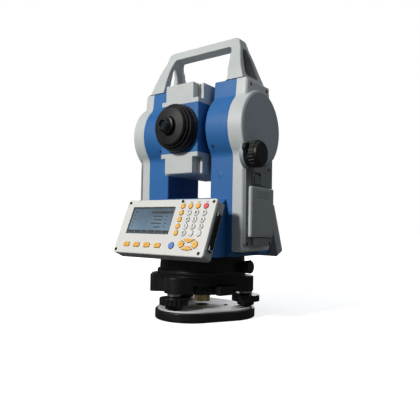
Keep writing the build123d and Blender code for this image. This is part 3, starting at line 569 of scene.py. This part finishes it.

# Inlay in the blind pocket of the +X leg, and the raised field on it: (Y, Z) outlines. Their dark
# colour is painted shade, standing for the shaded inner wall of the leg's window.
POCKET_SHADE = [(-14.6, 301.5), (14.6, 301.5), (8.9, 326.9), (3.6, 337.6), (-4.1, 337.6), (-8.9, 326.9)]
POCKET_SHADE_FIELD = [(-10.8, 305), (10.8, 305), (6.6, 325), (2.6, 333), (-3.0, 333), (-6.6, 325)]
POCKET_SHADE_X = 56.4              # outer face of the inlay
add_piece("handle_pocket_painted_shade", [plate(POCKET_SHADE, 55.0, POCKET_SHADE_X, bevel=0.5)],
          SIDE, "pocket_shade", "alidade")
add_piece("handle_pocket_shade_rib", [plate(POCKET_SHADE_FIELD, POCKET_SHADE_X, 57.0, bevel=0.3)],
          SIDE, "pocket_shade", "alidade")

# ------------------------------------------------------------------ battery
BATTERY_Y = 0.25
RIB_Z, RIB_PITCH = 150.5, 2.4       # lowest grip rib and the step between ribs
add_piece("battery_face", [box((52.6, 57.2, 1.1), 0.45, (BATTERY_Y, 133.05, 88.3))],
          SIDE, "case", "battery")
add_piece("battery_grip_ribs",
          [box((30, 0.8, 0.5), 0.2, (BATTERY_Y, RIB_Z + RIB_PITCH * k, 89.3), segments=2)
           for k in range(4)],
          SIDE, "case", "battery")

# ------------------------------------------------------------------ display units
LCD_X, LCD_Y = -22.7, 7.7           # centre of the glass
LCD_WIDTH, LCD_HEIGHT = 69.0, 35.6
LCD_Z = -1.0
ROW_PITCH = 4.7
LABEL_WIDTHS = (7, 5, 6, 4, 5)      # label dashes on the left are 0.55 of these wide
VALUE_WIDTHS = (15, 13, 16, 10)     # value dashes, which end on one line
BORDER, BORDER_INSET = 1.3, 0.9     # border width; its centre line from the glass edge


def bar(x, y, width, height):
    """Screen segment, centred x, y from the lower left corner of the glass."""
    at = (LCD_X - LCD_WIDTH / 2 + x, LCD_Y - LCD_HEIGHT / 2 + y, LCD_Z)
    return box((width, height, 0.10), 0.03, at, segments=1)


def screen_segments():
    """Header bar, rows of dashes and a row of six boxes."""
    bars = [bar(49.5, 28.6, 33, 3.0)]
    for i, width in enumerate(LABEL_WIDTHS):
        bars.append(bar(3.2 + width / 2, 29.2 - i * ROW_PITCH, width * 0.55, 1.2))
    for i, width in enumerate(VALUE_WIDTHS):
        y = 23.6 - i * ROW_PITCH
        bars.append(bar(44 + (16 - width) / 2, y, width, 1.3))
        bars.append(bar(58.5, y, 2.2, 1.3))
    bars += [bar(6.6 + i * 11.2, 3.6, 10.5, 3.3) for i in range(6)]
    return bars


def screen_border():
    """Upper, lower, right and left strips."""
    across, upright = LCD_WIDTH - 0.4, LCD_HEIGHT - 3.2
    x, y = LCD_WIDTH / 2 - BORDER_INSET, LCD_HEIGHT / 2 - BORDER_INSET
    strips = [(across, BORDER, 0, y), (across, BORDER, 0, -y),
              (BORDER, upright, x, 0), (BORDER, upright, -x, 0)]
    return [box((width, height, 0.14), 0.05, (LCD_X + dx, LCD_Y + dy, LCD_Z), segments=1)
            for width, height, dx, dy in strips]


for unit, frame in UNITS.items():
    add_piece(f"{unit}_screen_segments", screen_segments(), frame, "ink", "alidade",
              smooth=False)
    add_piece(f"{unit}_screen_border", screen_border(), frame, "ink", "alidade",
              smooth=False)

DIGIT_COLUMNS = (34.3, 44.9, 56.0)                                      # x
DIGIT_ROWS = ((17.4, "789"), (8.9, "456"), (0.4, "123"), (-8.0, ".-"))  # y, characters
DIGIT_ROWS = DIGIT_ROWS[:3] + ((-8.0, "0.-"),)
DIGIT_Z = 1.34
BEZEL_DASH_X, BEZEL_DASH_Y = (22.7, 33.9, 44.8, 56.2), 31.0
SOFT_KEY_X, SOFT_KEY_Y = (-49.4, -32.8, -16.1, 0.7), -24.3
KEY_MARK_Z = 1.29
PAD_X, PAD_Y = 45.2, -21.4              # centre of the navigation key
ARROW_REACH_X, ARROW_REACH_Y = 10.0, 4.7
ARROW = [(0.9, 0), (-0.6, 0.8), (-0.6, -0.8)]       # (along, across) its direction


def key_digits():
    return [text_solid(digit, size=4.9, depth=0.12, bold=0.14, at=(x, y, DIGIT_Z))
            for y, digits in DIGIT_ROWS for x, digit in zip(DIGIT_COLUMNS, digits)]


def arrow_marks():
    """Triangles pointing right, up, left and down from the centre of the key."""
    marks = []
    for degrees in (0, 90, 180, 270):
        cos, sin = math.cos(math.radians(degrees)), math.sin(math.radians(degrees))
        outline = [(PAD_X + (ARROW_REACH_X + along) * cos - across * sin,
                    PAD_Y + (ARROW_REACH_Y + along) * sin + across * cos)
                   for along, across in ARROW]
        marks.append(plate(outline, KEY_MARK_Z, 1.38))
    return marks


for unit, frame in UNITS.items():
    bezel_dashes = [box((4.2, 0.7, 0.08), 0.02, (x, BEZEL_DASH_Y, -0.01), segments=1)
                    for x in BEZEL_DASH_X]
    soft_key_marks = [box((3.2, 0.6, 0.09), 0.03, (x, SOFT_KEY_Y, KEY_MARK_Z), segments=1)
                      for x in SOFT_KEY_X]
    for name, solids, material, body in (
            ("key_digits", key_digits(), "ink", f"{unit}_number_keys"),
            ("printed_dashes", bezel_dashes, "ink", "alidade"),
            ("soft_key_marks", soft_key_marks, "keyink", f"{unit}_function_keys"),
            ("arrow_marks", arrow_marks(), "keyink", f"{unit}_navigation_key")):
        add_piece(f"{unit}_{name}", solids, frame, material, body, smooth=False)

# ------------------------------------------------------------------ port cover
# On the +X end of the front unit: local x runs up the display face, z points along +X
port_centre = UNITS["front"] @ Vector((69.2 * MM, -2.0 * MM, -9.3 * MM))
PORT = local_frame(port_centre / MM, UNITS["front"].col[1].xyz, (1, 0, 0))
TAB_Z = 1.4
SOCKET_DEPTH, SOCKET_Z = 1.4, -2.2
# (radius, z)
ROUND_SOCKET = [(0, SOCKET_Z), (1.7, SOCKET_Z), (1.7, -0.9), (1.0, -0.9), (0.9, -1.8), (0, -1.8)]
add_piece("port_cover_tabs",
          [box((1.1, 8.0, 0.7), 0.25, (x, 0, TAB_Z)) for x in (-22.0, 22.0)]
          + [box((4.4, 0.9, 0.7), 0.25, (x, 3.5, TAB_Z)) for x in (-20.0, 20.0)],
          PORT, "light", "port_cover")
add_piece("port_cover_ribs",
          [box((0.7, 5.0, 0.45), 0.18, (-2 + k * 1.6, 0, 1.5), segments=2) for k in range(5)],
          PORT, "rubber", "port_cover")
add_piece("port_sockets",
          [box((width, 3.6, SOCKET_DEPTH), 0.3, (x, 0, SOCKET_Z))
           for width, x in ((13, -10.5), (9, 5.5))]
          + [turned(ROUND_SOCKET, segments=24, x=15)],
          PORT, "socket", "alidade")

# ------------------------------------------------------------------ circular level
# In the tribrach's upper face, which is z = LEVEL_DATUM in the level's own frame
LEVEL_DATUM = 50.0
LEVEL_RADIUS, LEVEL_ANGLE = 57, math.radians(210)
LEVEL = local_frame((LEVEL_RADIUS * math.cos(LEVEL_ANGLE), LEVEL_RADIUS * math.sin(LEVEL_ANGLE),
                     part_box("tribrach_body")[1][2] / MM - LEVEL_DATUM), (1, 0, 0), (0, 0, 1))
# (radius, z) profiles
BUBBLE = [(0, 49.65), (1.2, 49.65), (2.0, 49.72), (2.3, 49.8), (1.5, 49.95), (0, LEVEL_DATUM)]
LEVEL_MARK = [(2.9, 49.62), (3.1, 49.62), (3.1, 49.72), (2.9, 49.72)]
LEVEL_BEZEL = [(8.3, 49.9), (10.6, 49.9), (10.6, 50.7), (9.9, 51.2), (8.7, 51.2), (8.3, 50.8)]
add_piece("circular_level_bubble", [turned(BUBBLE, segments=32)],
          LEVEL, "bubble", "tribrach")
add_piece("circular_level_mark", [ring(LEVEL_MARK, segments=48)],
          LEVEL, "ink", "tribrach")
add_piece("circular_level_bezel", [ring(LEVEL_BEZEL, segments=48)],
          LEVEL, "steel", "tribrach")

# ------------------------------------------------------------------ plate level, lying along X
VIAL = local_frame((0, -23, 133.6), (0, 1, 0), (1, 0, 0))
VIAL_PROFILE = [(0, -16.6), (3.0, -16.6), (4.0, -15.8), (4.0, 15.8), (3.0, 16.6), (0, 16.6)]
add_piece("plate_level_vial", [turned(VIAL_PROFILE, segments=40)],
          VIAL, "vial", "alidade")
add_piece("plate_level_marks",
          [ring([(4.02, z - 0.3), (4.14, z - 0.3), (4.14, z + 0.3), (4.02, z + 0.3)],
                segments=40) for z in (-4.4, 4.4)],
          VIAL, "ink", "alidade")

# ------------------------------------------------------------------ small fittings
# Thin seal under each foot of the handle
handle_foot_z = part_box("carrying_handle")[0][2] / MM
add_piece("handle_foot_seals",
          [box((25.3, 55.5, 1.2), 0.3, (x, 0, handle_foot_z - 0.1), segments=2)
           for x in (-63.2, 63.2)],
          Matrix.Identity(4), "rubber", "alidade")

# Socket set screws in the adjusting holes, which face forwards and down
ADJUSTING_HOLES = local_frame((0, -40.36, 211.3), (1, 0, 0), (0, -0.863, -0.505))
SET_SCREW = [(0, -0.9), (1.72, -0.9), (1.72, 0.05), (1.5, 0.24),
             (0.95, 0.24), (0.85, -0.45), (0, -0.45)]       # (radius, z)
add_piece("adjusting_set_screws", [turned(SET_SCREW, segments=24, x=x) for x in (-42.0, 42.0)],
          ADJUSTING_HOLES, "rubber", "alidade")

PLUG = [(0, 33.5), (4.4, 33.5), (4.4, 33.72), (4.25, 33.76), (0, 33.76)]    # (radius, -Y)
add_piece("adjustment_plug", [turned(PLUG, segments=40, x=49, y=177.6)],
          FRONT, "blue", "alidade")


# ------------------------------------------------------------------ floor
def floor_material():
    """Pale and glowing to the camera, dark grey to the light it throws on the object."""
    shader = Shader("pale_floor")
    seen = shader.node("ShaderNodeLightPath").outputs["Is Camera Ray"]
    pale = shader.mix(shader.remap(shader.noise(220, detail=4), 0.3, 0.7),
                      (0.86, 0.86, 0.855), (0.90, 0.90, 0.895))
    position = shader.node("ShaderNodeNewGeometry").outputs["Position"]
    distance = shader.node("ShaderNodeVectorMath", {0: position}, operation="LENGTH")
    fade = shader.remap(distance.outputs["Value"], 0.25, 1.1, 0.62, 1.0)
    shader.feed(shader.bsdf, {
        "Base Color": shader.mix(seen, (0.14, 0.14, 0.14), pale),
        "Emission Color": (1.0, 1.0, 1.0, 1),
        "Emission Strength": shader.math("MULTIPLY", seen, fade),
        "Roughness": 0.85,
        "Specular IOR Level": 0.0,
    })
    return shader.material


def add_floor():
    mesh = bpy.data.meshes.new("floor")
    grid = bmesh.new()
    bmesh.ops.create_grid(grid, x_segments=8, y_segments=8, size=6.0)
    grid.to_mesh(mesh)
    grid.free()
    obj = bpy.data.objects.new("floor", mesh)
    bpy.context.scene.collection.objects.link(obj)
    mesh.materials.append(floor_material())


add_floor()


# ------------------------------------------------------------------ lights
def area_light(name, at, target, size, power, color=(1, 1, 1)):
    light = bpy.data.lights.new(name, "AREA")
    light.shape = "DISK"
    light.size = size
    light.energy = power
    light.color = color
    obj = bpy.data.objects.new(name, light)
    bpy.context.scene.collection.objects.link(obj)
    obj.location = at
    obj.rotation_euler = (Vector(target) - Vector(at)).to_track_quat("-Z", "Y").to_euler()


area_light("key", at=(-0.38, -1.61, 0.98), target=(0, 0, 0.18), size=0.34, power=28,
           color=(1.0, 0.985, 0.96))
area_light("top", at=(0.0, -0.2, 1.7), target=(0, 0, 0.2), size=1.0, power=2)
area_light("side", at=(0.85, 0.25, 0.95), target=(0, 0, 0.28), size=0.7, power=1.9,
           color=(0.93, 0.96, 1.0))
area_light("back", at=(-0.55, 1.6, 0.75), target=(0, 0, 0.2), size=0.8, power=12,
           color=(0.95, 0.97, 1.0))


def add_world():
    """White to the camera, a faint cool fill for everything else."""
    world = bpy.data.worlds.new("studio")
    bpy.context.scene.world = world
    world.use_nodes = True
    graph = Graph(world.node_tree)
    seen = graph.node("ShaderNodeLightPath").outputs["Is Camera Ray"]
    backdrop = graph.node("ShaderNodeBackground", {"Color": (1, 1, 1, 1), "Strength": 1.0})
    fill = graph.node("ShaderNodeBackground", {"Color": (0.93, 0.96, 1.0, 1), "Strength": 0.10})
    mixed = graph.node("ShaderNodeMixShader",
                       {0: seen, 1: fill.outputs[0], 2: backdrop.outputs[0]})
    graph.node("ShaderNodeOutputWorld", {"Surface": mixed.outputs[0]})


add_world()

scene = bpy.context.scene
scene.view_settings.view_transform = "Standard"
scene.view_settings.look = "None"
scene.view_settings.exposure = 0.0

# ------------------------------------------------------------------ camera
CAMERA_AT = (0.3638, -0.4928, 0.1149)
YAW = math.radians(35.84)           # from +Y towards -X
PITCH = math.radians(2.04)          # above the horizon
ROLL = math.radians(0.99)


def camera_matrix():
    forward = Vector((-math.sin(YAW) * math.cos(PITCH), math.cos(YAW) * math.cos(PITCH),
                      math.sin(PITCH)))
    right = Vector((math.cos(YAW), math.sin(YAW), 0.0))
    up = right.cross(forward)
    rolled_right = right * math.cos(ROLL) + up * math.sin(ROLL)
    rolled_up = -right * math.sin(ROLL) + up * math.cos(ROLL)
    matrix = Matrix((rolled_right, rolled_up, -forward)).transposed().to_4x4()
    matrix.translation = Vector(CAMERA_AT)
    return matrix


camera = bpy.data.cameras.new("camera")
camera_object = bpy.data.objects.new("camera", camera)
scene.collection.objects.link(camera_object)
camera_object.matrix_world = camera_matrix()
camera.sensor_width = 36.0
camera.lens = 39.6625714
camera.shift_x = 0.00373809524
camera.shift_y = -0.000190476190
camera.clip_start = 0.01
camera.clip_end = 50
scene.camera = camera_object
